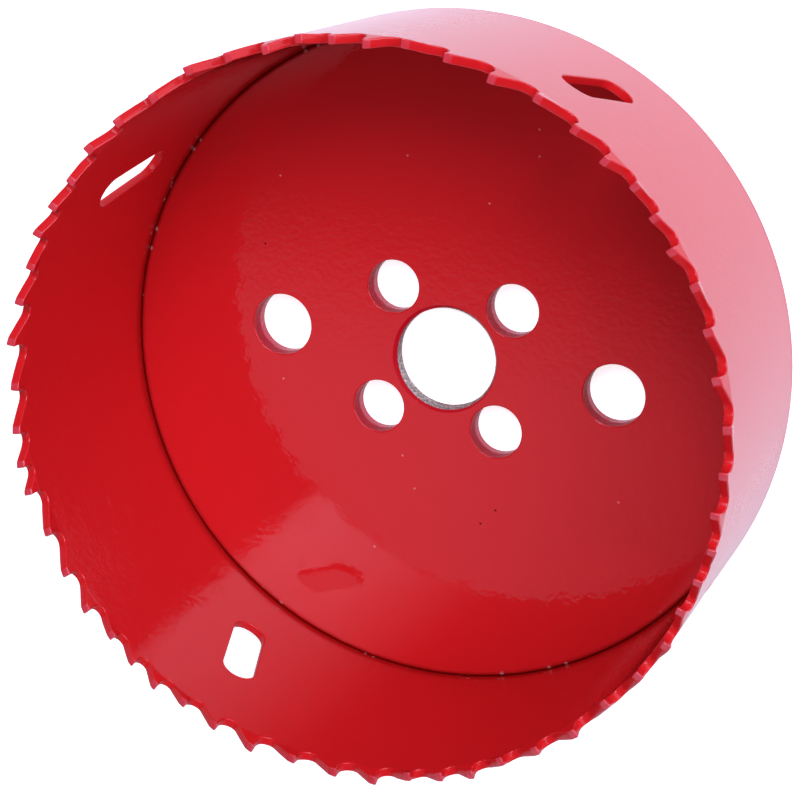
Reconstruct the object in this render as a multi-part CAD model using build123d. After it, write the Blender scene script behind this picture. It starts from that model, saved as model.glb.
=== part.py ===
from build123d import *
import os
from math import cos, degrees, pi, radians, sin, tan

# A bi-metal hole saw for a 100 mm hole, in millimetres.
# It stands on its flat back at z = 0 with the teeth up. The Z axis is the axis of rotation,
# and the two larger holes of the backing plate lie on the X axis.

# Rolled toothed strip that makes the wall
cut_diameter = 100.0
overall_height = 42.0
wall_thickness = 1.25
tooth_set = 0.4
back_edge_chamfer = 0.4
seam_angle = 20.3

# Teeth: the pitch swells and shrinks in groups, between four and six teeth to the inch.
# Each tooth has a shallow relief behind its tip, then a steeper back. Shares are of the pitch.
coarse_pitch = 6.2
fine_pitch = 4.4
teeth_per_group = 9
coarsest_tooth = 0.28
seam_to_first_tip = 3.5
pitch_before_seam = 4.7
pitch_across_seam = 3.9
rake_angle = 6.0
relief_angle = 18.0
relief_share = 0.2
back_angle = 40.0
root_radius_share = 0.23
lean_clearance = 0.3

# Slanted slots in the wall, punched in the flat strip at an even spacing
slot_count = 4
slot_spacing = 76.2
slot_length = 14.8
slot_width = 5.0
slot_lean = 17.5
slot_height = 21.0

# Backing plate, punched from sheet and welded into the closed end
plate_thickness = 4.0
plate_roll_radius = 0.8
plate_roll_angle = 45.0
plate_weld_bevel = 0.3

# Holes of the backing plate
thread_bore_diameter = 14.8
thread_front_chamfer = 0.5
thread_back_chamfer = 1.2
pin_hole_diameter = 7.7
pin_circle_diameter = 25.6
pin_hole_count = 4
pin_start_angle = 45.0
relief_hole_diameter = 9.0
relief_circle_diameter = 50.8
relief_hole_count = 2

# How far each cutter reaches past the surface that it opens
cutter_overrun = 1.0

outer_radius = cut_diameter / 2 - tooth_set
inner_radius = outer_radius - wall_thickness
strip_radius = (outer_radius + inner_radius) / 2
strip_length = 2 * pi * strip_radius


def strip_angle(distance):
    """Angle round the saw, in degrees, of a point that far along the strip from the seam."""
    return seam_angle + degrees(distance / strip_radius)


def wall_plane(angle, height):
    """Plane on the wall at that angle: its X runs round the wall, its Y up and its Z outwards."""
    outward = (cos(radians(angle)), sin(radians(angle)), 0)
    along = (-sin(radians(angle)), cos(radians(angle)), 0)
    return Plane(
        origin=(strip_radius * outward[0], strip_radius * outward[1], height),
        x_dir=along,
        z_dir=outward,
    )


def tooth_pitches():
    """Pitches from each tip to the next, round from the first tip after the seam."""
    mean = (coarse_pitch + fine_pitch) / 2
    swing = (coarse_pitch - fine_pitch) / 2
    room = strip_length - pitch_before_seam - pitch_across_seam
    pitches = []
    while sum(pitches) + mean / 2 < room:
        phase = 2 * pi * (len(pitches) - coarsest_tooth) / teeth_per_group
        pitches.append(mean + swing * cos(phase))
    stretch = room / sum(pitches)
    return [pitch * stretch for pitch in pitches] + [pitch_before_seam, pitch_across_seam]


def gullet_root(pitch):
    """Depth below the tips of the corner where the rake face and the back of a gullet would meet."""
    relief = relief_share * tan(radians(relief_angle))
    back = (1 - relief_share) * tan(radians(back_angle))
    return pitch * (relief + back) / (1 - tan(radians(rake_angle)) * tan(radians(back_angle)))


def gullet_floor(pitch):
    """Lowest point of a gullet's rounded root: distance in front of the tip, and depth below it."""
    half = radians(90 - rake_angle - back_angle) / 2
    middle = radians(90 - rake_angle + back_angle) / 2
    radius = root_radius_share * pitch
    root = gullet_root(pitch)
    distance = radius * cos(middle) / sin(half) - root * tan(radians(rake_angle))
    depth = root - radius * (sin(middle) / sin(half) - 1)
    return distance, depth


def gullet_cutter(tip, pitch):
    """Gullet in front of the tip there: rake face, round root, then the next tooth's back and relief."""
    root = gullet_root(pitch)
    relief = relief_share * pitch
    outline = Polygon(
        (0, cutter_overrun),
        (0, 0),
        (-root * tan(radians(rake_angle)), -root),
        (pitch - relief, -relief * tan(radians(relief_angle))),
        (pitch, 0),
        (pitch, cutter_overrun),
        align=None,
    )
    corner = outline.vertices().sort_by(Axis.Y)[0]
    outline = fillet(corner, root_radius_share * pitch)
    middle = strip_angle(tip + pitch / 2)
    profile = wall_plane(middle, overall_height) * Pos(-pitch / 2, 0) * outline
    return extrude(profile, wall_thickness / 2 + tooth_set + cutter_overrun, both=True)


def wall_sector(start, end, low, high, lean, margin):
    """Stretch of wall between two distances along the strip, leaning out by lean at its top."""
    profile = Plane.XZ * Polygon(
        (inner_radius - margin, low),
        (outer_radius + margin, low),
        (outer_radius + margin + lean, high),
        (inner_radius - margin + lean, high),
        align=None,
    )
    sweep = degrees((end - start) / strip_radius)
    return Rot(0, 0, strip_angle(start)) * revolve(profile, Axis.Z, sweep)


def slot_cutter(angle):
    """Round-ended slot through the wall, its top leaning the way the saw turns."""
    profile = wall_plane(angle, slot_height) * Rot(0, 0, 90 - slot_lean) * SlotOverall(slot_length, slot_width)
    return extrude(profile, wall_thickness / 2 + cutter_overrun, both=True)


def plain_wall():
    """Rolled strip before the teeth and slots are cut, with its back edge chamfered."""
    section = Plane.XZ * Polygon(
        (inner_radius, 0),
        (outer_radius - back_edge_chamfer, 0),
        (outer_radius, back_edge_chamfer),
        (outer_radius, overall_height),
        (inner_radius, overall_height),
        align=None,
    )
    return revolve(section, Axis.Z)


def toothed_wall():
    """Wall with its gullets, its teeth set out, in and straight by turns, and its slots."""
    pitches = tooth_pitches()
    tips = [seam_to_first_tip + sum(pitches[:index]) for index in range(len(pitches))]
    gullets = [gullet_cutter(tip, pitch) for tip, pitch in zip(tips, pitches)]
    blanks = []
    leaning = []
    for index, tip in enumerate(tips):
        lean = (tooth_set, -tooth_set, 0)[index % 3]
        if lean == 0:
            continue
        before = pitches[index - 1]
        after = pitches[index]
        low = overall_height - gullet_floor(min(before, after))[1] + lean_clearance
        start = tip - before + gullet_floor(before)[0]
        end = tip + gullet_floor(after)[0]
        blanks.append(wall_sector(start, end, low, overall_height + cutter_overrun, 0, cutter_overrun))
        tooth = wall_sector(start, end, low, overall_height, lean, 0)
        leaning.append(tooth - gullets[index - 1] - gullets[index])
    first_slot = strip_length / 2 - slot_spacing * (slot_count - 1) / 2
    slots = [slot_cutter(strip_angle(first_slot + slot_spacing * k)) for k in range(slot_count)]
    wall = plain_wall() - gullets - blanks - slots
    return wall + leaning


def ring_of_holes(diameter, circle_diameter, count, start_angle):
    """Round cutters through the plate, evenly spaced on a circle."""
    cutter = Cylinder(diameter / 2, 2 * (plate_thickness + cutter_overrun))
    return [place * cutter for place in PolarLocations(circle_diameter / 2, count, start_angle)]


def plate_section():
    """Half section: front edge rolled over by the punch, weld bevel and the arbor hole's chamfers."""
    bore_radius = thread_bore_diameter / 2
    roll_width = plate_roll_radius * sin(radians(plate_roll_angle))
    roll = JernArc(
        start=(inner_radius - roll_width, plate_thickness),
        tangent=(1, 0),
        radius=plate_roll_radius,
        arc_size=-plate_roll_angle,
    )
    rest = Polyline(
        roll @ 1,
        (inner_radius, plate_weld_bevel),
        (inner_radius - plate_weld_bevel, 0),
        (bore_radius + thread_back_chamfer, 0),
        (bore_radius, thread_back_chamfer),
        (bore_radius, plate_thickness - thread_front_chamfer),
        (bore_radius + thread_front_chamfer, plate_thickness),
        roll @ 0,
    )
    return Plane.XZ * make_face(roll + rest)


def backing_plate():
    """Flat round plate with the threaded arbor hole, the drive pin holes and two larger holes."""
    plate = revolve(plate_section(), Axis.Z)
    plate -= ring_of_holes(pin_hole_diameter, pin_circle_diameter, pin_hole_count, pin_start_angle)
    plate -= ring_of_holes(relief_hole_diameter, relief_circle_diameter, relief_hole_count, 0)
    return plate


os.makedirs("parts", exist_ok=True)
export_step(toothed_wall(), "parts/toothed_wall.step")
export_step(backing_plate(), "parts/backing_plate.step")
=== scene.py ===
from math import cos, pi, radians, sin, tan

import bmesh
import bpy
import numpy as np
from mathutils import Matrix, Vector


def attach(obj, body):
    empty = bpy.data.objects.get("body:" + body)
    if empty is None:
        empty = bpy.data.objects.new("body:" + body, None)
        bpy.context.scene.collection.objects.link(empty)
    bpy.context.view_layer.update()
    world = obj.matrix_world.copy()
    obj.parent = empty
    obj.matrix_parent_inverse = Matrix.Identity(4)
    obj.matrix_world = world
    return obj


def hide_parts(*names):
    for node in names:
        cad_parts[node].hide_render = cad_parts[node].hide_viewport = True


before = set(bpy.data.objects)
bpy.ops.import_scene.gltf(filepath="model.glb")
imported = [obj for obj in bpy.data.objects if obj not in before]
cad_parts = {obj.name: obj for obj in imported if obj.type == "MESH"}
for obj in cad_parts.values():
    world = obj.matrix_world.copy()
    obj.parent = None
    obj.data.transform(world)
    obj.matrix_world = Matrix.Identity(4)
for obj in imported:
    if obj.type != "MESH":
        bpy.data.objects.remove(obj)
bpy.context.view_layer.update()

# Red enamel: the whole saw, teeth too, is dipped in glossy red paint once it is welded together.
# The paint has a slight orange peel and holds dust in the crevice round the plate. The dust's pale
# specks also stand as painted highlights there. Painted shade darkens that crevice, the wall just above
# it, the front half of the holes' walls and the ring round the arbor hole; a painted dark reflection runs
# along the outer back edge; and a painted highlight lightens the tips of the teeth. The coat is taken off
# where the shade and the reflection are painted, and it is thinner on the cut faces.
# Sizes are in millimetres up to the floor, and a noise's scale is its waves to the millimetre.
millimetre = 0.001
enamel_red = (0.675, 0.0102, 0.0132, 1.0)
enamel_roughness, enamel_specular, coat_roughness = 0.4, 0.1, 0.04

# The plate's size, which places the zones of the paint, and the orange peel, deeper on the wall
plate_radius, plate_thickness = 48.35, 4.0
peel_depth, peel_scale, sag_scale = 0.0117, 1.3, 0.35
wall_peel, wall_peel_from = 1.8, (plate_radius - 0.1, plate_radius)

# Crevice between plate and wall, darkened by painted shade, which also runs a little way up the
# wall. Each pair of places is where a zone fades in or out.
crevice_shade_colour = (0.32, 0.004, 0.003, 1.0)
crevice_on_plate = (plate_radius - 1.0, plate_radius - 0.1)
crevice_on_wall = (plate_thickness - 0.1, plate_thickness + 0.5)
crevice_above = (plate_thickness - 1.1, plate_thickness - 0.9)
crevice_within = (plate_radius + 0.2, plate_radius + 0.5)
shade_share, shade_up_wall = 0.55, (plate_thickness + 0.2, plate_thickness + 2.2)
wall_face = (plate_radius - 0.05, plate_radius)
ripple_scale, ripple_reach = 0.6, 0.6

# Dust in the crevice, in patches. Its pale specks also stand as painted highlights on the plate's rolled
# edge.
dust_and_glint_pink = (0.62, 0.30, 0.28, 1.0)
dust_scale, dust_grain = 0.7, (0.17, 0.27)
patch_scale, bare_patches, patch_loss = 0.06, (0.45, 0.65), 0.2

# Painted highlight in patches on the tips of the teeth. The holes' walls are crimson, with painted shade
# on the front half of them and round the arbor hole. A painted dark reflection runs along the outer
# back edge. The paint is thinner on every cut face of the strip, which the wall's mesh marks as cut_face
tip_highlight_pink, tooth_tips, tip_patches, least_tip = (0.67, 0.05, 0.068, 1.0), (41.6, 41.7), (0.3, 0.6), 0.5
hole_crimson, hole_shade_colour = (0.62, 0.004, 0.035, 1.0), (0.5, 0.002, 0.02, 1.0)
hole_from, hole_to, hole_shade_from = (0.1, 0.3), (plate_thickness - 0.3, plate_thickness - 0.1), (1.4, 2.0)
holes_past, holes_within = (8.1, 8.5), (34.0, 35.0)
arbor_ring, arbor_shade = (7.9, 8.0), 0.5
edge_reflection_crimson, edge_reflection_share = (0.60, 0.03, 0.12, 1.0), 0.75
back_edge, outer_face = (0.5, 0.9), (48.6, 48.8)
cut_thinning = 0.8

# Nibs: specks that settled in the wet paint, where the photograph shows them
nib_size, nib_core = 0.24, 0.3
nib_glint, nib_dark = (0.82, 0.20, 0.22, 1.0), (0.12, 0.0, 0.004, 1.0)
# The pale nibs are real specks, drawn with painted glints.
glinting_nibs = (
    (28.15, -21.82, plate_thickness),
    (-9.31, -35.19, plate_thickness),
    (-9.85, -31.49, plate_thickness),
    (9.31, -28.17, plate_thickness),
    (-3.59, -23.64, plate_thickness),
    (2.0, 20.3, plate_thickness),
    (7.03, 30.67, plate_thickness),
    (4.47, 15.72, plate_thickness),
    (24.31, 8.14, plate_thickness),
    (-28.44, 15.34, plate_thickness),
)
dark_nibs = (
    (29.38, -11.46, plate_thickness),
    (-10.65, 20.76, plate_thickness),
    (-8.68, 23.26, plate_thickness),
    (-32.98, -37.04, 31.53),
    (-49.56, 1.88, 0.48),
)


def node(tree, kind, inputs=None, **settings):
    """Adds a node with its settings. Each of its inputs is a value, a socket or a list of sockets."""
    made = tree.nodes.new(kind)
    for name, value in settings.items():
        setattr(made, name, value)
    for key, value in (inputs or {}).items():
        for given in value if isinstance(value, list) else [value]:
            if isinstance(given, bpy.types.NodeSocket):
                tree.links.new(given, made.inputs[key])
            else:
                made.inputs[key].default_value = given
    return made


def maths(tree, operation, first, second=0.0, clamp=False):
    """Socket of one arithmetic step in a shader tree or a geometry tree."""
    inputs = {0: first, 1: second}
    return node(tree, "ShaderNodeMath", inputs, operation=operation, use_clamp=clamp).outputs[0]


def product(tree, *factors):
    """Socket of several numbers multiplied."""
    result = factors[0]
    for factor in factors[1:]:
        result = maths(tree, "MULTIPLY", result, factor)
    return result


def vector(tree, x=0.0, y=0.0, z=0.0):
    """Socket of a vector put together from its three numbers."""
    return node(tree, "ShaderNodeCombineXYZ", {0: x, 1: y, 2: z}).outputs[0]


def ramp(tree, value, low, high, at_low=0.0, at_high=1.0):
    """Socket that runs smoothly from one number to another while the value goes from low to high."""
    inputs = {"Value": value, "From Min": low, "From Max": high, "To Min": at_low, "To Max": at_high}
    return node(tree, "ShaderNodeMapRange", inputs, interpolation_type="SMOOTHSTEP").outputs[0]


def band(tree, value, rise, fall):
    """Socket that rises from nothing to one over the first pair of places and falls over the second."""
    return product(tree, ramp(tree, value, *rise), ramp(tree, value, *fall, 1.0, 0.0))


def noise(tree, place, scale, detail=1.0):
    """Socket of soft noise with that many waves to the millimetre."""
    inputs = {"Vector": place, "Scale": scale, "Detail": detail}
    return node(tree, "ShaderNodeTexNoise", inputs).outputs[0]


def mixed(tree, share, first, second):
    """Socket of two colours mixed, or of two sockets that carry colours."""
    return node(tree, "ShaderNodeMix", {0: share, 6: first, 7: second}, data_type="RGBA").outputs[2]


def saw_places(tree):
    """Sockets of the place on the saw in millimetres, its distance from the axis and its height."""
    place = node(tree, "ShaderNodeTexCoord").outputs["Object"]
    inputs = {0: place, "Scale": 1 / millimetre}
    place = node(tree, "ShaderNodeVectorMath", inputs, operation="SCALE").outputs[0]
    x, y, height = node(tree, "ShaderNodeSeparateXYZ", {0: place}).outputs
    inputs = {0: vector(tree, x, y)}
    radius = node(tree, "ShaderNodeVectorMath", inputs, operation="LENGTH").outputs["Value"]
    return place, radius, height


def orange_peel(tree, place, radius):
    """Socket of the surface's slope under the peel."""
    height = maths(tree, "ADD", noise(tree, place, sag_scale), noise(tree, place, peel_scale))
    height = product(tree, height, ramp(tree, radius, *wall_peel_from, 1.0, wall_peel))
    inputs = {"Strength": 1.0, "Distance": peel_depth * millimetre, "Height": height}
    return node(tree, "ShaderNodeBump", inputs).outputs[0]


def crevice_shade_and_dust(tree, place, radius, height, shift):
    """Sockets of the painted shade in the crevice and just up the wall, and of the dust there, whose
    pale specks are partly painted highlights.
    """
    edge = maths(tree, "ADD", radius, shift)
    level = maths(tree, "ADD", height, shift)
    within = ramp(tree, radius, *crevice_within, 1.0, 0.0)
    within = product(tree, within, ramp(tree, height, *crevice_above))
    on_wall = ramp(tree, level, *crevice_on_wall, 1.0, 0.0)
    corner = product(tree, ramp(tree, edge, *crevice_on_plate), on_wall, within)
    shade = ramp(tree, level, *shade_up_wall, shade_share, 0.0)
    shade = product(tree, shade, ramp(tree, radius, *wall_face), within)
    crevice = maths(tree, "MAXIMUM", corner, shade)
    grain = node(tree, "ShaderNodeTexVoronoi", {"Vector": place, "Scale": dust_scale}).outputs["Distance"]
    patches = ramp(tree, noise(tree, place, patch_scale), *bare_patches, patch_loss, 0.0)
    grain = ramp(tree, maths(tree, "ADD", grain, patches), *dust_grain, 1.0, 0.0)
    return crevice, product(tree, grain, crevice)


def hole_shares(tree, radius, height, shift):
    """Sockets of the walls of the holes, and of the painted shade on the front half of them and round the
    arbor hole.
    """
    hole = band(tree, height, hole_from, hole_to)
    hole = product(tree, hole, band(tree, radius, holes_past, holes_within))
    dark = product(tree, hole, ramp(tree, maths(tree, "ADD", height, shift), *hole_shade_from))
    return hole, maths(tree, "MAXIMUM", dark, ramp(tree, radius, *arbor_ring, arbor_shade, 0.0))


def nib_share(tree, place, spots):
    """Socket that is one at each of the spots and falls to nothing a nib's size away."""
    share = 0.0
    for spot in spots:
        inputs = {0: place, 1: spot}
        away = node(tree, "ShaderNodeVectorMath", inputs, operation="DISTANCE").outputs["Value"]
        share = maths(tree, "MAXIMUM", ramp(tree, away, nib_size * nib_core, nib_size, 1.0, 0.0), share)
    return share


def red_enamel():
    """Glossy paint over steel, with its pattern on the object's own coordinates."""
    material = bpy.data.materials.new("red_enamel")
    material.use_nodes = True
    tree = material.node_tree
    shader = tree.nodes["Principled BSDF"]
    place, radius, height = saw_places(tree)
    ripple = noise(tree, place, ripple_scale, detail=2.0)
    shift = product(tree, maths(tree, "SUBTRACT", ripple, 0.5), ripple_reach)
    # Painted shade in the crevice and just up the wall; the dust there is partly painted highlights.
    crevice, dust = crevice_shade_and_dust(tree, place, radius, height, shift)
    # Painted shade on the front half of the holes' walls and round the arbor hole.
    hole, hole_shade = hole_shares(tree, radius, height, shift)
    # Painted highlight, lighter pink in patches on the tips of the teeth.
    tip = product(tree, ramp(tree, height, *tooth_tips), ramp(tree, ripple, *tip_patches, least_tip, 1.0))
    # Painted dark reflection along the outer back edge, where the coat is also taken off.
    edge = ramp(tree, height, *back_edge, edge_reflection_share, 0.0)
    edge = product(tree, edge, ramp(tree, radius, *outer_face))
    cut = node(tree, "ShaderNodeAttribute", attribute_name="cut_face").outputs["Fac"]
    cut = product(tree, cut, maths(tree, "SUBTRACT", 1.0, tip), cut_thinning)
    dark = nib_share(tree, place, dark_nibs)
    colour = mixed(tree, tip, enamel_red, tip_highlight_pink)
    colour = mixed(tree, hole_shade, mixed(tree, hole, colour, hole_crimson), hole_shade_colour)
    # Pale nibs, drawn with painted glints.
    colour = mixed(tree, nib_share(tree, place, glinting_nibs), colour, nib_glint)
    colour = mixed(tree, edge, mixed(tree, dark, colour, nib_dark), edge_reflection_crimson)
    # The crevice gets its painted shade, and over it the pale dust, which is partly painted highlights.
    colour = mixed(tree, dust, mixed(tree, crevice, colour, crevice_shade_colour), dust_and_glint_pink)
    # The coat is taken off with the painted shade, the painted dark reflection and the dark nibs, and
    # partly on the cut faces.
    coat = 1.0
    for coat_loss in (hole_shade, crevice, maths(tree, "MAXIMUM", dark, edge), cut):
        coat = product(tree, coat, maths(tree, "SUBTRACT", 1.0, coat_loss))
    peel = orange_peel(tree, place, radius)
    tree.links.new(colour, shader.inputs["Base Color"])
    tree.links.new(coat, shader.inputs["Coat Weight"])
    tree.links.new(peel, shader.inputs["Normal"])
    tree.links.new(peel, shader.inputs["Coat Normal"])
    shader.inputs["Roughness"].default_value = enamel_roughness
    shader.inputs["Specular IOR Level"].default_value = enamel_specular
    shader.inputs["Coat Roughness"].default_value = coat_roughness
    return material


enamel = red_enamel()

# Toothed wall: one strip of steel, milled along one edge into teeth whose pitch swells and shrinks,
# and punched with four leaning slots. It is rolled into a ring and butt welded, and its teeth are
# then set out, in and straight by turns. It is drawn flat here, in millimetres, and then rolled.
cut_diameter = 100.0
wall_height = 42.0
wall_thickness = 1.25
tooth_set = 0.4
seam_angle = 20.3
wall_edge_radius = 0.18
back_edge_radius = 0.4
coarse_pitch, fine_pitch = 6.2, 4.4
teeth_per_group = 9
coarsest_tooth = 0.28
seam_to_first_tip = 3.5
pitch_before_seam, pitch_across_seam = 4.7, 3.9
rake_angle, relief_angle, back_angle = 6.0, 18.0, 40.0
relief_share = 0.2
root_radius_share = 0.23
tip_radius_share = 0.04
crest_radius_share = 0.06
bend_clearance = 0.3
slot_count, slot_spacing, slot_height = 4, 76.2, 21.0
slot_length, slot_width, slot_lean = 14.8, 5.0, 17.5

# How finely the wall is drawn
tooth_corner_points, slot_end_points, wall_edge_points = 10, 12, 4
slot_end_share, wall_lip = 0.4999, 0.01
rolled_columns, tooth_rows, blank_margin_teeth = 288, 12, 2

# How close points count as one, and how upright a face's normal is where the face counts as level,
# broad or cut
tooth_join, solid_join, level_join, seam_join = 0.002, 0.001, 0.01, 0.0002
cut_snap, slack = 0.00001, 0.0001
level_slope, broad_slope, cut_slope = 0.999, 0.95, 0.1
narrow_face_weight = 0.02

strip_radius = cut_diameter / 2 - tooth_set - wall_thickness / 2
strip_length = 2 * pi * strip_radius


def tooth_pitches():
    """Pitches from each tip to the next, round from the first tip after the seam."""
    mean = (coarse_pitch + fine_pitch) / 2
    swing = (coarse_pitch - fine_pitch) / 2
    room = strip_length - pitch_before_seam - pitch_across_seam
    pitches = []
    while sum(pitches) + mean / 2 < room:
        pitches.append(mean + swing * cos(2 * pi * (len(pitches) - coarsest_tooth) / teeth_per_group))
    stretch = room / sum(pitches)
    return [pitch * stretch for pitch in pitches] + [pitch_before_seam, pitch_across_seam]


def gullet_root():
    """Depth, as a share of the pitch, at which the rake face and the back of a gullet would meet."""
    relief = relief_share * tan(radians(relief_angle))
    back = (1 - relief_share) * tan(radians(back_angle))
    return (relief + back) / (1 - tan(radians(rake_angle)) * tan(radians(back_angle)))


def gullet_floor():
    """Lowest point of a gullet as shares of its pitch: distance in front of the tip, and depth."""
    half = radians(90 - rake_angle - back_angle) / 2
    middle = radians(90 - rake_angle + back_angle) / 2
    distance = root_radius_share * cos(middle) / sin(half) - gullet_root() * tan(radians(rake_angle))
    depth = gullet_root() - root_radius_share * (sin(middle) / sin(half) - 1)
    return distance, depth


def geometry_tree(name, sizes):
    """Empty geometry tree with a named input for each size, and its input node's outputs."""
    tree = bpy.data.node_groups.new(name, "GeometryNodeTree")
    kinds = {float: "NodeSocketFloat", int: "NodeSocketInt", bpy.types.Material: "NodeSocketMaterial"}
    tree.interface.new_socket("Geometry", in_out="INPUT", socket_type="NodeSocketGeometry")
    for size, value in sizes.items():
        tree.interface.new_socket(size, in_out="INPUT", socket_type=kinds[type(value)])
    tree.interface.new_socket("Geometry", in_out="OUTPUT", socket_type="NodeSocketGeometry")
    return tree, tree.nodes.new("NodeGroupInput").outputs


def end_tree(tree, geometry, material):
    """Closes a tree: its instances are made real, and its material is set."""
    real = node(tree, "GeometryNodeRealizeInstances", {0: geometry}).outputs[0]
    painted = node(tree, "GeometryNodeSetMaterial", {"Geometry": real, "Material": material}).outputs[0]
    node(tree, "NodeGroupOutput", {0: painted})


def placed(name, data):
    """New object with that data, in the scene."""
    made = bpy.data.objects.new(name, data)
    bpy.context.scene.collection.objects.link(made)
    return made


def grown(tree, start, sizes):
    """Plain mesh that the tree makes from the start mesh with those sizes."""
    holder = placed(tree.name, start)
    modifier = holder.modifiers.new(tree.name, "NODES")
    modifier.node_group = tree
    for item in tree.interface.items_tree:
        if item.in_out == "INPUT" and item.name in sizes:
            modifier[item.identifier] = sizes[item.name]
    mesh = bpy.data.meshes.new_from_object(holder.evaluated_get(bpy.context.evaluated_depsgraph_get()))
    bpy.data.objects.remove(holder)
    while mesh.materials[0] is None:
        mesh.materials.pop(index=0)
    return mesh


def by_index(tree, kind, values):
    """Socket whose value depends on the point's index."""
    switch = node(tree, "GeometryNodeIndexSwitch", data_type=kind)
    tree.links.new(node(tree, "GeometryNodeInputIndex").outputs[0], switch.inputs["Index"])
    for _ in values[2:]:
        switch.index_switch_items.new()
    for index, value in enumerate(values):
        tree.links.new(value, switch.inputs[index + 1])
    return switch.outputs[0]


def points(tree, places):
    """Mesh line through the places, each a pair of numbers or sockets."""
    line = node(tree, "GeometryNodeMeshLine", {"Count": len(places)}).outputs[0]
    spot = by_index(tree, "VECTOR", [vector(tree, x, y) for x, y in places])
    return node(tree, "GeometryNodeSetPosition", {"Geometry": line, "Position": spot}).outputs[0]


def joined(tree, geometries):
    """Several geometries as one."""
    return node(tree, "GeometryNodeJoinGeometry", {0: geometries}).outputs[0]


def as_curve(tree, mesh):
    """Mesh edges as a curve."""
    return node(tree, "GeometryNodeMeshToCurve", {"Mesh": mesh}).outputs[0]


def copied(tree, geometry, spots, **inputs):
    """Real copies of the geometry at the spots."""
    inputs = {"Points": spots, "Instance": geometry, **inputs}
    copies = node(tree, "GeometryNodeInstanceOnPoints", inputs).outputs[0]
    return node(tree, "GeometryNodeRealizeInstances", {0: copies}).outputs[0]


def merged(tree, geometry, distance):
    """Geometry whose points closer than the distance are one."""
    inputs = {"Geometry": geometry, "Distance": distance}
    return node(tree, "GeometryNodeMergeByDistance", inputs).outputs[0]


def named(tree, name):
    """A number that each point carries under that name."""
    return node(tree, "GeometryNodeInputNamedAttribute", {"Name": name}, data_type="FLOAT").outputs[0]


def with_named(tree, geometry, name, value):
    """Geometry whose points carry the value under that name."""
    inputs = {"Geometry": geometry, "Name": name, "Value": value}
    settings = {"data_type": "FLOAT", "domain": "POINT"}
    return node(tree, "GeometryNodeStoreNamedAttribute", inputs, **settings).outputs[0]


def rounded(tree, curve, radius, count):
    """Curve whose corners are rounded to the radius with that many points."""
    inputs = {"Curve": curve, "Count": count, "Radius": radius, "Limit Radius": True}
    return node(tree, "GeometryNodeFilletCurve", inputs, mode="POLY").outputs[0]


def swept(tree, curve, section):
    """Skin that the section makes along the curve, standing upright all along."""
    upright = node(tree, "GeometryNodeSetCurveNormal", {"Curve": curve}, mode="Z_UP").outputs[0]
    inputs = {"Curve": upright, "Profile Curve": section}
    return node(tree, "GeometryNodeCurveToMesh", inputs).outputs[0]


def face_at(tree, skins, height, *curves):
    """Flat face at that height between the open edges of the skins there and the other curves."""
    faces_beside = node(tree, "GeometryNodeInputMeshEdgeNeighbors").outputs[0]
    place = node(tree, "GeometryNodeInputPosition").outputs[0]
    level = node(tree, "ShaderNodeSeparateXYZ", {0: place}).outputs[2]
    off = maths(tree, "ABSOLUTE", maths(tree, "SUBTRACT", level, height))
    is_open = maths(tree, "LESS_THAN", faces_beside, 2.0)
    chosen = product(tree, is_open, maths(tree, "LESS_THAN", off, level_join))
    loops = node(tree, "GeometryNodeMeshToCurve", {"Mesh": skins, "Selection": chosen}).outputs[0]
    inputs = {"Curve": joined(tree, [loops, *curves])}
    fill = node(tree, "GeometryNodeFillCurve", inputs, mode="NGONS").outputs[0]
    inputs = {"Geometry": fill, "Offset": vector(tree, z=height)}
    return node(tree, "GeometryNodeSetPosition", inputs).outputs[0]


strip_sizes = {
    "Root Depth": gullet_root(),
    "Undercut": gullet_root() * tan(radians(rake_angle)),
    "Relief": relief_share,
    "Relief Drop": relief_share * tan(radians(relief_angle)),
    "Root Radius": root_radius_share,
    "Crest Radius": crest_radius_share,
    "Tip Radius": tip_radius_share,
    "Blank Start": 0.0,
    "Blank End": 0.0,
    "Height": wall_height,
    "Half Thickness": wall_thickness / 2,
    "Edge Radius": wall_edge_radius,
    "Slots": slot_count,
    "First Slot": strip_length / 2 - slot_spacing * (slot_count - 1) / 2,
    "Slot Spacing": slot_spacing,
    "Slot Height": slot_height,
    "Slot Length": slot_length,
    "Slot Width": slot_width,
    "Slot Lean": radians(90 - slot_lean),
    "Material": enamel,
}


def milled_edge(tree, given):
    """Outline of the flat strip: a gullet's shape at each tip, and the blank's other corners."""
    undercut = maths(tree, "MULTIPLY", given["Undercut"], -1.0)
    depth = maths(tree, "MULTIPLY", given["Root Depth"], -1.0)
    crest = maths(tree, "SUBTRACT", 1.0, given["Relief"])
    drop = maths(tree, "MULTIPLY", given["Relief Drop"], -1.0)
    gullet = points(tree, [(0.0, 0.0), (undercut, depth), (crest, drop), (1.0, 0.0)])
    corner_radii = [given[f"{corner} Radius"] for corner in ("Tip", "Root", "Crest", "Tip")]
    gullet = with_named(tree, gullet, "share", by_index(tree, "FLOAT", corner_radii))
    pitch = named(tree, "pitch")
    teeth = copied(tree, gullet, given["Geometry"], Scale=pitch)
    teeth = with_named(tree, teeth, "radius", product(tree, named(tree, "share"), pitch))
    corners = [
        (given["Blank End"], given["Height"]),
        (given["Blank End"], 0.0),
        (given["Blank Start"], 0.0),
        (given["Blank Start"], given["Height"]),
    ]
    edge = merged(tree, joined(tree, [teeth, points(tree, corners)]), tooth_join)
    return rounded(tree, as_curve(tree, edge), named(tree, "radius"), tooth_corner_points)


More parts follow.
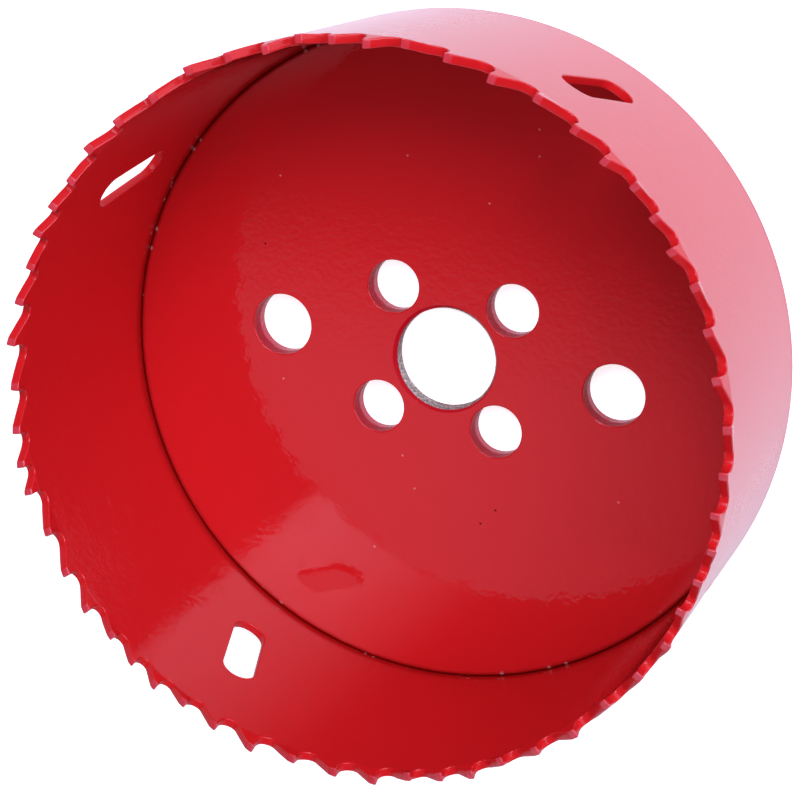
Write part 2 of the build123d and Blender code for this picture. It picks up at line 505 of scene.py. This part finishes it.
def leaning_slots(tree, given):
    """Outlines of the slots, in a row at an even spacing."""
    inputs = {"Width": given["Slot Length"], "Height": given["Slot Width"]}
    slot = node(tree, "GeometryNodeCurvePrimitiveQuadrilateral", inputs).outputs[0]
    slot = rounded(tree, slot, product(tree, given["Slot Width"], slot_end_share), slot_end_points)
    first = vector(tree, given["First Slot"], given["Slot Height"])
    step = vector(tree, given["Slot Spacing"])
    inputs = {"Count": given["Slots"], "Start Location": first, "Offset": step}
    row = node(tree, "GeometryNodeMeshLine", inputs).outputs[0]
    return copied(tree, slot, row, Rotation=vector(tree, z=given["Slot Lean"]))


def milled_strip():
    """Tree that makes the flat strip: teeth at its points, slots at an even spacing, rounded edges."""
    tree, given = geometry_tree("milled_strip", strip_sizes)
    front = given["Half Thickness"]
    rear = maths(tree, "MULTIPLY", front, -1.0)
    inset = maths(tree, "ADD", given["Edge Radius"], wall_lip)
    section = as_curve(tree, points(tree, [(inset, front), (0.0, front), (0.0, rear), (inset, rear)]))
    section = rounded(tree, section, given["Edge Radius"], wall_edge_points)
    outlines = (milled_edge(tree, given), leaning_slots(tree, given))
    skins = joined(tree, [swept(tree, outline, section) for outline in outlines])
    rear_face = node(tree, "GeometryNodeFlipFaces", {"Mesh": face_at(tree, skins, rear)}).outputs[0]
    solid = merged(tree, joined(tree, [skins, face_at(tree, skins, front), rear_face]), solid_join)
    end_tree(tree, solid, given["Material"])
    return tree


pitches = tooth_pitches()
tooth_count = len(pitches)
order = range(-blank_margin_teeth, tooth_count + blank_margin_teeth)
pitch_after = {index: pitches[index % tooth_count] for index in order}
tip_at = {0: seam_to_first_tip}
for index in range(1, order[-1] + 2):
    tip_at[index] = tip_at[index - 1] + pitch_after[index - 1]
for index in range(-1, order[0] - 1, -1):
    tip_at[index] = tip_at[index + 1] - pitch_after[index]
tips = bpy.data.meshes.new("tips")
tips.from_pydata([(tip_at[index], wall_height, 0) for index in order], [], [])
tips.attributes.new("pitch", "FLOAT", "POINT").data.foreach_set("value", list(pitch_after.values()))
strip_sizes["Blank Start"] = tip_at[order[0]]
strip_sizes["Blank End"] = tip_at[order[-1] + 1]
strip = grown(milled_strip(), tips, strip_sizes)


def cut_across(solid, place, normal, **ends):
    """Cuts every face of the solid that the plane crosses."""
    whole = solid.verts[:] + solid.edges[:] + solid.faces[:]
    bmesh.ops.bisect_plane(solid, geom=whole, dist=cut_snap, plane_co=place, plane_no=normal, **ends)


def slanted_edges(solid, ends):
    """Edges that run askew in the flat faces from a point at one end, which the other end lacks."""
    slanted = []
    for edge in solid.edges:
        along = [vertex.co.x for vertex in edge.verts]
        level = [abs(face.normal.z) > level_slope for face in edge.link_faces]
        at_end = any(abs(place - end) < slack for place in along for end in ends)
        if level == [True, True] and at_end and abs(along[0] - along[1]) > slack:
            slanted.append(edge)
    return slanted


def cut_grid(mesh, columns, rows):
    """Solid from the mesh, cut at each column's place and each row's height, and open at its ends."""
    solid = bmesh.new()
    solid.from_mesh(mesh)
    bmesh.ops.recalc_face_normals(solid, faces=solid.faces)
    for place in columns:
        ends = {"clear_inner": place == columns[0], "clear_outer": place == columns[-1]}
        cut_across(solid, (place, 0, 0), (1, 0, 0), **ends)
    slanted = slanted_edges(solid, (columns[0], columns[-1]))
    bmesh.ops.dissolve_edges(solid, edges=slanted, use_verts=True)
    for height in rows:
        cut_across(solid, (0, height, 0), (0, 1, 0))
    return solid


def bent_teeth(places):
    """Flat places with each tooth bent to its side above its gullets, and the back edge rounded."""
    distance, depth = gullet_floor()
    floors = np.array([tip_at[index] + distance * pitch_after[index] for index in order])
    for number, index in enumerate(order[1:], 1):
        lean = (tooth_set, -tooth_set, 0)[(index % tooth_count) % 3]
        low = wall_height - depth * min(pitch_after[index - 1], pitch_after[index]) + bend_clearance
        inside = (places[:, 0] > floors[number - 1]) & (places[:, 0] <= floors[number])
        rise = np.clip((places[:, 1] - low) / (wall_height - low), 0, 1)
        places[:, 2] += np.where(inside, lean * rise, 0)
    corner = np.array([0, wall_thickness / 2])
    offset = places[:, 1:] - corner
    near = (offset[:, 0] < wall_edge_radius + slack) & (offset[:, 1] > -wall_edge_radius - slack)
    places[near, 1:] = corner + offset[near] * back_edge_radius / wall_edge_radius
    return places


def paint_normals(solid, level_only=False):
    """Normal of each vertex, led by broad faces so that they stay flat. With level_only, a face that
    isn't level counts as narrow, and looks crowned by the paint."""
    normals = []
    for vertex in solid.verts:
        total = Vector()
        for face in vertex.link_faces:
            broad = not level_only or abs(face.normal.z) > broad_slope
            total += face.normal * (face.calc_area() if broad else narrow_face_weight)
        normals.append(total.normalized())
    return np.array(normals)


def skinned(mesh, solid, places, normals, most_corners):
    """Puts the solid into the mesh with its points at those places, shaded by those normals. A face
    with more corners than that is cut into triangles."""
    flow = solid.verts.layers.float_vector.new("flow")
    for vertex, place, normal in zip(solid.verts, places, normals):
        vertex.co = place
        vertex[flow] = normal
    bmesh.ops.remove_doubles(solid, verts=solid.verts, dist=seam_join * millimetre)
    large = [face for face in solid.faces if len(face.verts) > most_corners]
    bmesh.ops.triangulate(solid, faces=large)
    mesh.clear_geometry()
    solid.to_mesh(mesh)
    solid.free()
    mesh.shade_smooth()
    mesh.normals_split_custom_set_from_vertices([flow.vector for flow in mesh.attributes["flow"].data])
    mesh.attributes.remove(mesh.attributes["flow"])


columns = [strip_length * column / rolled_columns for column in range(rolled_columns + 1)]
row_start = wall_height - gullet_floor()[1] * coarse_pitch
rows = [row_start + (wall_height - row_start) * row / tooth_rows for row in range(tooth_rows)]
solid = cut_grid(strip, columns, rows)
places = bent_teeth(np.array([vertex.co for vertex in solid.verts]))
for vertex, place in zip(solid.verts, places):
    vertex.co = place
solid.normal_update()
cut_face = solid.faces.layers.float.new("cut_face")
for face in solid.faces:
    face[cut_face] = float(abs(face.normal.z) < cut_slope)
normals = paint_normals(solid, level_only=True)
turn = radians(seam_angle) + places[:, 0] / strip_radius
outward = np.stack([np.cos(turn), np.sin(turn)], 1)
along = np.stack([-np.sin(turn), np.cos(turn)], 1)
rolled = np.column_stack([outward * (strip_radius + places[:, 2:3]), places[:, 1]]) * millimetre
rolled_normals = np.column_stack([along * normals[:, 0:1] + outward * normals[:, 2:3], normals[:, 1]])
skinned(strip, solid, rolled, rolled_normals, 3)
wall = placed("rolled_wall", strip)
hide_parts("toothed_wall")
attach(wall, "root")

# Backing plate: a flat round blank punched from 4 mm sheet, with its front edge rolled over by the
# punch. Four drive pin holes and two larger holes are punched through it, and the middle is bored,
# chamfered on both sides and tapped for the arbor. It is welded into the closed end of the wall.
plate_roll_width, plate_roll_depth, roll_knee_shares = 0.57, 0.23, (0.5, 0.24)
plate_weld_bevel = 0.3
hole_edge_radius = 0.2
pin_holes, pin_hole_radius, pin_circle_radius, pin_start = 4, 3.85, 12.8, 45.0
larger_holes, larger_hole_radius, larger_circle_radius = 2, 4.5, 25.4
thread_major, thread_minor, thread_pitch = 7.9375, 7.4, 25.4 / 18
thread_root_share, thread_crest_share, thread_start = 0.125, 0.25, 0.5
front_chamfer_radius, back_chamfer_radius = 7.95, 8.6
painted_above = 3.5
steel_dark, steel_light = (0.24, 0.22, 0.19, 1.0), (0.64, 0.60, 0.53, 1.0)
steel_metallic, steel_roughness = 0.4, 0.4
mottle_scale, mottle_spread = 3.6, (0.33, 0.7)

# How finely the plate is drawn
rim_points, hole_points, bore_points = 288, 72, 216
hole_edge_points, hole_lip = 5, 0.02
bore_rows = 64

plate_sizes = {
    "Thickness": plate_thickness,
    "Rim Radius": plate_radius,
    "Roll Width": plate_roll_width,
    "Roll Depth": plate_roll_depth,
    "Weld Bevel": plate_weld_bevel,
    "Edge Radius": hole_edge_radius,
    "Pin Holes": pin_holes,
    "Pin Hole Radius": pin_hole_radius,
    "Pin Circle Radius": pin_circle_radius,
    "Pin Start": radians(pin_start),
    "Larger Holes": larger_holes,
    "Larger Hole Radius": larger_hole_radius,
    "Larger Circle Radius": larger_circle_radius,
    "Front Bore Radius": front_chamfer_radius,
    "Back Bore Radius": back_chamfer_radius,
    "Rim Points": rim_points,
    "Hole Points": hole_points,
    "Bore Points": bore_points,
    "Material": enamel,
}


def circle(tree, count, radius):
    """Circle of straight edges, as a curve."""
    inputs = {"Resolution": count, "Radius": radius}
    return node(tree, "GeometryNodeCurvePrimitiveCircle", inputs).outputs[0]


def hole_outlines(tree, given):
    """Circles of the pin holes, evenly spaced on a ring, and of the larger holes, on one diameter."""
    ring = circle(tree, given["Pin Holes"], given["Pin Circle Radius"])
    inputs = {"Geometry": ring, "Rotation": vector(tree, z=given["Pin Start"])}
    ring = node(tree, "GeometryNodeTransform", inputs).outputs[0]
    pins = copied(tree, circle(tree, given["Hole Points"], given["Pin Hole Radius"]), ring)
    right = vector(tree, given["Larger Circle Radius"])
    left = node(tree, "ShaderNodeVectorMath", {0: right, "Scale": -1.0}, operation="SCALE").outputs[0]
    inputs = {"Count": given["Larger Holes"], "Start Location": left, "Offset": right}
    pair = node(tree, "GeometryNodeMeshLine", inputs, mode="END_POINTS").outputs[0]
    larger = copied(tree, circle(tree, given["Hole Points"], given["Larger Hole Radius"]), pair)
    return joined(tree, [pins, larger])


def punched_plate():
    """Tree that makes the plate with its holes, but without the skin of its bore."""
    tree, given = geometry_tree("punched_plate", plate_sizes)
    top = given["Thickness"]
    down = maths(tree, "MULTIPLY", top, -1.0)
    inset = maths(tree, "ADD", given["Edge Radius"], hole_lip)
    section = as_curve(tree, points(tree, [(inset, 0.0), (0.0, 0.0), (0.0, down), (inset, down)]))
    section = rounded(tree, section, given["Edge Radius"], hole_edge_points)
    holes = swept(tree, hole_outlines(tree, given), section)
    bevel = maths(tree, "MULTIPLY", given["Weld Bevel"], -1.0)
    roll = maths(tree, "MULTIPLY", given["Roll Width"], -1.0)
    shoulder = maths(tree, "SUBTRACT", given["Roll Depth"], top)
    knee = maths(tree, "MULTIPLY", roll, roll_knee_shares[0])
    knee_height = maths(tree, "SUBTRACT", product(tree, given["Roll Depth"], roll_knee_shares[1]), top)
    edge = [(bevel, 0.0), (0.0, bevel), (0.0, shoulder), (knee, knee_height), (roll, down)]
    rim = circle(tree, given["Rim Points"], given["Rim Radius"])
    rim = swept(tree, rim, as_curve(tree, points(tree, edge)))
    skins = joined(tree, [holes, rim])
    faces = []
    for height, bore in ((top, given["Front Bore Radius"]), (0.0, given["Back Bore Radius"])):
        faces.append(face_at(tree, skins, height, circle(tree, given["Bore Points"], bore)))
    end_tree(tree, merged(tree, joined(tree, [skins, *faces]), solid_join), given["Material"])
    return tree


def bare_steel():
    """Cut steel that the paint didn't reach, grey and mottled."""
    material = bpy.data.materials.new("bare_steel")
    material.use_nodes = True
    tree = material.node_tree
    shader = tree.nodes["Principled BSDF"]
    mottle = noise(tree, saw_places(tree)[0], mottle_scale, detail=2.0)
    mottle = ramp(tree, mottle, *mottle_spread)
    tree.links.new(mixed(tree, mottle, steel_dark, steel_light), shader.inputs["Base Color"])
    shader.inputs["Metallic"].default_value = steel_metallic
    shader.inputs["Roughness"].default_value = steel_roughness
    return material


def bore_radii(turn, height):
    """Radii there of the thread's groove and of the wider chamfer. The bore has the larger one."""
    phase = (height / thread_pitch - turn / (2 * pi) + thread_start) % 1
    flank = abs(phase - 0.5) * 2
    slope = (1 - flank - thread_crest_share) / (1 - thread_crest_share - thread_root_share)
    groove = thread_minor + (thread_major - thread_minor) * min(1, max(0, slope))
    front = front_chamfer_radius - (plate_thickness - height)
    back = back_chamfer_radius - height
    return groove, max(front, back)


def line_bore(solid):
    """Adds the skin of the tapped bore, with bare steel on its thread."""
    lining = [[None] * bore_points for _ in range(bore_rows + 1)]
    ends = {0: back_chamfer_radius, bore_rows: front_chamfer_radius}
    for row in range(bore_rows + 1):
        height = plate_thickness * row / bore_rows
        for column in range(bore_points):
            turn = 2 * pi * column / bore_points
            radius = ends.get(row, max(bore_radii(turn, height)))
            lining[row][column] = solid.verts.new((radius * cos(turn), radius * sin(turn), height))
    for row, (lower, upper) in enumerate(zip(lining, lining[1:])):
        middle = plate_thickness * (row + 0.5) / bore_rows
        for column in range(bore_points):
            following = (column + 1) % bore_points
            corners = [lower[column], lower[following], upper[following], upper[column]]
            groove, chamfer = bore_radii(2 * pi * (column + 0.5) / bore_points, middle)
            solid.faces.new(corners).material_index = int(groove > chamfer and middle < painted_above)
    bmesh.ops.remove_doubles(solid, verts=solid.verts, dist=solid_join)
    bmesh.ops.recalc_face_normals(solid, faces=solid.faces)


plate = grown(punched_plate(), bpy.data.meshes.new("plate_start"), plate_sizes)
solid = bmesh.new()
solid.from_mesh(plate)
line_bore(solid)
places = [vertex.co * millimetre for vertex in solid.verts]
skinned(plate, solid, places, paint_normals(solid), 4)
plate.materials.append(bare_steel())
disc = placed("punched_disc", plate)
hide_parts("backing_plate")
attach(disc, "root")

# Floor: a plain white sheet under the saw. It shines by itself where the camera or a mirror sees
# it, so that it comes out white, and it keeps a soft shadow.
floor_half = 3.0
floor_colour = (0.9, 0.9, 0.9, 1.0)
floor_light = (1.0, 1.0, 1.0, 1.0)
floor_shine, mirrored_shine = 0.75, 0.12


def white_sheet():
    """Matt white that also shines where the camera, a mirror or a clear body looks at it."""
    material = bpy.data.materials.new("white_sheet")
    material.use_nodes = True
    tree = material.node_tree
    shader = tree.nodes["Principled BSDF"]
    path = node(tree, "ShaderNodeLightPath").outputs
    mirrored = maths(tree, "ADD", path["Is Glossy Ray"], path["Is Transmission Ray"], clamp=True)
    shine = product(tree, path["Is Camera Ray"], floor_shine)
    shine = maths(tree, "ADD", shine, product(tree, mirrored, mirrored_shine))
    shader.inputs["Base Color"].default_value = floor_colour
    shader.inputs["Roughness"].default_value = 1.0
    shader.inputs["Specular IOR Level"].default_value = 0.0
    shader.inputs["Emission Color"].default_value = floor_light
    tree.links.new(shine, shader.inputs["Emission Strength"])
    return material


sheet = bpy.data.meshes.new("floor")
corners = [(x * floor_half, y * floor_half, 0) for x, y in ((-1, -1), (1, -1), (1, 1), (-1, 1))]
sheet.from_pydata(corners, [], [(0, 1, 2, 3)])
sheet.materials.append(white_sheet())
placed("floor", sheet)

# Studio light: a broad soft box on the camera's side of the saw, a bright one beside it that fades
# to one side, a dim panel under the ceiling, and a white room low down that fills the shadows.
# Sizes and places are in metres, as they are for the floor and the camera.
cool_white = (0.98, 0.965, 1.22)
box_distance = 1.2
room_fill = 0.32
horizon_shine, ceiling_shine, ceiling_from = 0.9, 0.02, (0.1, 0.3)
backdrop_shine, backdrop_from = 0.8, (0.45, 0.8)
crisp_sides = (0.02, 0.02, 0.02, 0.02)


def white_room():
    """World that the camera sees white, that mirrors see bright low down and at the far side, and
    that gives the saw an even fill."""
    world = bpy.data.worlds.new("studio")
    world.use_nodes = True
    tree = world.node_tree
    direction = node(tree, "ShaderNodeTexCoord").outputs["Generated"]
    _, far, rise = node(tree, "ShaderNodeSeparateXYZ", {0: direction}).outputs
    path = node(tree, "ShaderNodeLightPath").outputs
    walls = ramp(tree, rise, *ceiling_from, horizon_shine, ceiling_shine)
    walls = maths(tree, "MAXIMUM", walls, ramp(tree, far, *backdrop_from, 0.0, backdrop_shine))
    mirrored = maths(tree, "ADD", path["Is Glossy Ray"], path["Is Transmission Ray"], clamp=True)
    seen = maths(tree, "ADD", path["Is Camera Ray"], product(tree, mirrored, walls))
    diffuse = maths(tree, "ADD", path["Is Camera Ray"], mirrored, clamp=True)
    diffuse = maths(tree, "SUBTRACT", 1.0, diffuse)
    strength = maths(tree, "ADD", seen, product(tree, diffuse, room_fill))
    tree.links.new(strength, tree.nodes["Background"].inputs["Strength"])
    tree.nodes["Background"].inputs["Color"].default_value = (*cool_white, 1.0)
    return world


def soft_box(name, width, height, brightness, place, fades=crisp_sides):
    """Soft box whose face has that brightness. It fades in over those shares of it, from each side."""
    light = bpy.data.lights.new(name, "AREA")
    light.shape = "RECTANGLE"
    light.size, light.size_y = width, height
    light.energy = pi * width * height * brightness
    light.color = cool_white
    light.use_nodes = True
    tree = light.node_tree
    across = node(tree, "ShaderNodeNewGeometry").outputs["Parametric"]
    across = node(tree, "ShaderNodeSeparateXYZ", {0: across}).outputs
    level = 1.0
    for share, (start, end) in ((across[0], fades[:2]), (across[1], fades[2:])):
        level = product(tree, level, band(tree, share, (0.0, start), (1.0 - end, 1.0)))
    tree.links.new(level, tree.nodes["Emission"].inputs["Strength"])
    lamp = placed(name, light)
    lamp.location = place
    return lamp


def facing_box(name, azimuth, elevation, width, height, brightness, fades=crisp_sides):
    """Soft box that stands off in that direction from the middle of the saw, and faces it."""
    rise, turn = radians(elevation), radians(azimuth)
    away = Vector((cos(turn) * cos(rise), sin(turn) * cos(rise), sin(rise)))
    lamp = soft_box(name, width, height, brightness, away * box_distance, fades)
    lamp.rotation_euler = away.to_track_quat("Z", "Y").to_euler()


bpy.context.scene.world = white_room()
side_size = {"width": 0.83, "height": 0.78}
rear_size = {"width": 0.684, "height": 0.576}
rear_fades = (0.02, 0.98, 0.1, 0.1)
panel_size = {"width": 1.1, "height": 0.88}
panel_place, panel_fades = (0.55, 0.66, 1.1), (0.32, 0.02, 0.15, 0.02)
facing_box("side_box", azimuth=213, elevation=40, brightness=3.5, **side_size)
facing_box("rear_box", azimuth=275, elevation=58, brightness=10.2, fades=rear_fades, **rear_size)
soft_box("ceiling_panel", brightness=0.47, place=panel_place, fades=panel_fades, **panel_size)

# Camera: above the teeth and to one side, looking down into the cup as the photograph does. Its
# place, turn and lens come from a fit to the holes, the rims and the tooth tips in the photograph.
camera_place = (-0.09222446, -0.08897582, 0.30534237)
camera_turn = (-15.10667679, 19.16889637, -172.52144113)
camera_lens, camera_sensor, camera_near = 102.3966, 36.0, 0.01
camera_shift = (-0.0414, 0.0352)
lens = bpy.data.cameras.new("camera")
lens.lens = camera_lens
lens.sensor_width = camera_sensor
lens.shift_x, lens.shift_y = camera_shift
lens.clip_start = camera_near
camera = placed("camera", lens)
camera.location = camera_place
camera.rotation_euler = [radians(angle) for angle in camera_turn]
bpy.context.scene.camera = camera
bpy.context.scene.view_settings.view_transform = "Standard"
